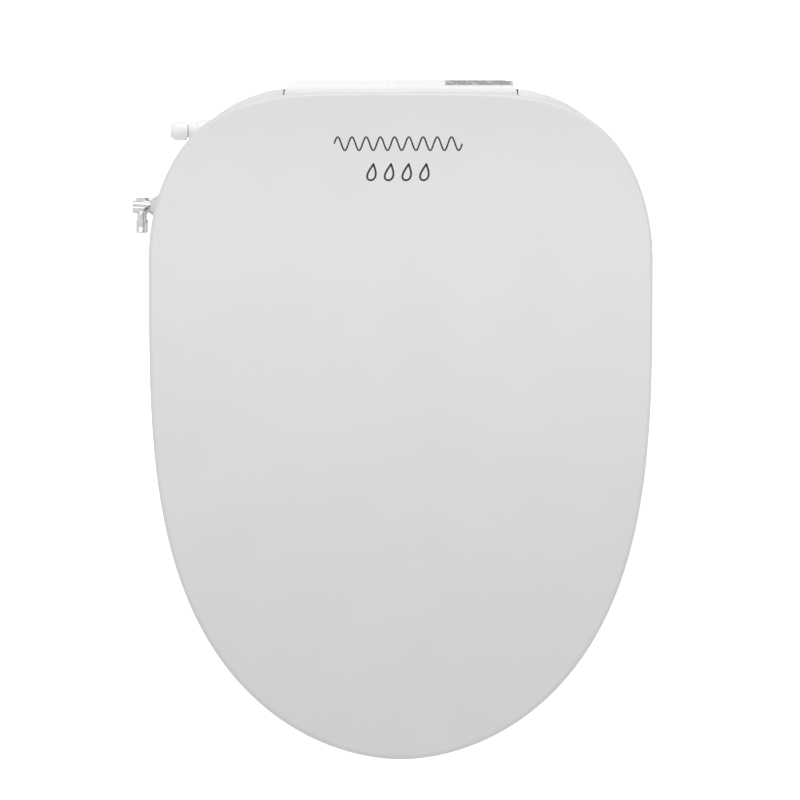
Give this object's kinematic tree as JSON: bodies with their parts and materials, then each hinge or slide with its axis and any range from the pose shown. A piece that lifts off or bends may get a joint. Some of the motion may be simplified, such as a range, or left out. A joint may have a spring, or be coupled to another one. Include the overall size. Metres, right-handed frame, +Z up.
{
  "type": "electric bidet seat",
  "caption": "Electric bidet toilet seat: heated seat and flat lid hinged on a slim base with sliding wash nozzles, warm-air dryer, swivel water inlet and drain plug.",
  "frame": {"origin": "midway between the two fixing bolts, on the rim plane that the seat stands on", "axes": "+Z up, +Y to the rear, so the lid's tip points along -Y; the water inlet is on the -X side"},
  "size_m": [0.399, 0.5213, 0.1048],
  "materials": {
    "housing": "gloss white ABS",
    "lid": "gloss pale grey PP",
    "seat": "gloss white PP",
    "plain_plastic": "satin moulded",
    "dark_plastic": "fine texture",
    "nozzle": "polished",
    "chrome": "bright plate",
    "steel": "drawn",
    "pin_steel": "ground",
    "rubber": "moulded",
    "soft_grey": "moulded",
    "hose": "silicone",
    "board": "solder mask",
    "plate": "printed film",
    "window": "dark tinted",
    "tank": "translucent moulded",
    "motor": "zinc plated can",
    "element": "heated sheath"
  },
  "bodies": {
    "base": {"base_bottom": "housing", "base_top_cover": "housing", "rear_cover": "housing", "rating_plate": "plate", "base_gasket": "rubber", "mounting_bracket": "steel", "rubber_pads": "rubber", "receiver_window": "window", "nozzle_guide": "plain_plastic", "nozzle_guard": "housing", "rear_nozzle_motor": "motor", "front_nozzle_motor": "motor", "heater_tank": "tank", "tank_heater": "element", "inlet_union": "chrome", "inlet_washer": "rubber", "solenoid_valve": "dark_plastic", "flow_sensor": "dark_plastic", "water_hoses": "hose", "drain_port": "housing", "blower_housing": "dark_plastic", "blower_motor": "motor", "dryer_heater": "element", "deodoriser_duct": "dark_plastic", "button_board": "board", "main_board": "board", "power_supply": "dark_plastic", "cord_gland": "dark_plastic", "release_spring": "steel", "case_screws": "steel", "seat_damper": "dark_plastic", "lid_damper": "dark_plastic"},
    "seat": {"seat_top": "seat", "seat_bottom": "seat", "seat_heater": "element", "seat_feet": "soft_grey", "seat_arm_left": "seat", "seat_arm_right": "seat", "seat_damper_shaft": "pin_steel"},
    "lid": {"lid_shell": "lid", "lid_arm_left": "lid", "lid_arm_right": "lid", "lid_bumpers": "soft_grey", "lid_damper_shaft": "pin_steel"},
    "rear_wash_nozzle": {"rear_nozzle": "nozzle", "rear_nozzle_tip": "nozzle"},
    "front_wash_nozzle": {"front_nozzle": "nozzle", "front_nozzle_tip": "nozzle"},
    "rear_gear": {"rear_pinion": "plain_plastic"},
    "front_gear": {"front_pinion": "plain_plastic"},
    "elbow": {"inlet_elbow": "chrome"},
    "drain": {"drain_plug": "housing"},
    "release": {"release_button": "plain_plastic"},
    "wash_key": {"wash_button": "plain_plastic"},
    "power_key": {"power_button": "plain_plastic"},
    "flap": {"dryer_flap": "housing"},
    "cartridge": {"deodoriser_cartridge": "plain_plastic"},
    "fan": {"deodoriser_fan": "plain_plastic"},
    "impeller": {"blower_impeller": "plain_plastic"},
    "turbine": {"flow_turbine": "plain_plastic"}
  },
  "joints": [
    {"name": "seat_hinge", "type": "hinge", "parent": "base", "child": "seat", "pos_m": [0, 0.038, 0.088], "axis": [1, 0, 0], "range_deg": [-100, 0]},
    {"name": "lid_hinge", "type": "hinge", "parent": "seat", "child": "lid", "pos_m": [0, 0.038, 0.088], "axis": [-1, 0, 0], "range_deg": [0, 105]},
    {"name": "rear_nozzle_slide", "type": "slide", "parent": "base", "child": "rear_wash_nozzle", "axis": [0, -0.866, -0.5], "range_m": [0, 0.05]},
    {"name": "front_nozzle_slide", "type": "slide", "parent": "base", "child": "front_wash_nozzle", "axis": [0, -0.866, -0.5], "range_m": [0, 0.05]},
    {"name": "rear_pinion_turn", "type": "hinge", "parent": "base", "child": "rear_gear", "pos_m": [-0.011, -0.04561, 0.06139], "axis": [-1, 0, 0], "range_deg": [0, 600]},
    {"name": "front_pinion_turn", "type": "hinge", "parent": "base", "child": "front_gear", "pos_m": [0.011, -0.04561, 0.06139], "axis": [-1, 0, 0], "range_deg": [0, 600]},
    {"name": "inlet_swivel", "type": "hinge", "parent": "base", "child": "elbow", "pos_m": [-0.198, -0.0275, 0.031], "axis": [1, 0, 0], "range_deg": [-90, 90]},
    {"name": "drain_turn", "type": "hinge", "parent": "base", "child": "drain", "pos_m": [-0.16, 0.031, 0.031], "axis": [-1, 0, 0], "range_deg": [0, 90]},
    {"name": "release_press", "type": "slide", "parent": "base", "child": "release", "axis": [-1, 0, 0], "range_m": [0, 0.005], "stiffness_N_per_m": 500, "springref_m": -0.003, "deforming": ["release_spring"]},
    {"name": "wash_press", "type": "slide", "parent": "base", "child": "wash_key", "axis": [-1, 0, 0], "range_m": [0, 0.0012], "stiffness_N_per_m": 1200, "springref_m": -0.001},
    {"name": "power_press", "type": "slide", "parent": "base", "child": "power_key", "axis": [-1, 0, 0], "range_m": [0, 0.0012], "stiffness_N_per_m": 1200, "springref_m": -0.001},
    {"name": "flap_hinge", "type": "hinge", "parent": "base", "child": "flap", "pos_m": [0.074, -0.0912, 0.033], "axis": [-1, 0, 0], "range_deg": [0, 60]},
    {"name": "cartridge_slide", "type": "slide", "parent": "base", "child": "cartridge", "axis": [1, 0, 0], "range_m": [0, 0.042]},
    {"name": "deodoriser_fan_spin", "type": "hinge", "parent": "base", "child": "fan", "pos_m": [0.12, -0.03, 0.033], "axis": [1, 0, 0], "continuous": true},
    {"name": "blower_spin", "type": "hinge", "parent": "base", "child": "impeller", "pos_m": [0.065, -0.045, 0.049], "axis": [1, 0, 0], "continuous": true},
    {"name": "turbine_spin", "type": "hinge", "parent": "base", "child": "turbine", "pos_m": [-0.15, 0, 0.031], "axis": [0, 1, 0], "continuous": true}
  ],
  "couplings": [
    {"joint": "rear_pinion_turn", "follows": "rear_nozzle_slide", "rad_per_m": 208.33},
    {"joint": "front_pinion_turn", "follows": "front_nozzle_slide", "rad_per_m": 208.33}
  ]
}
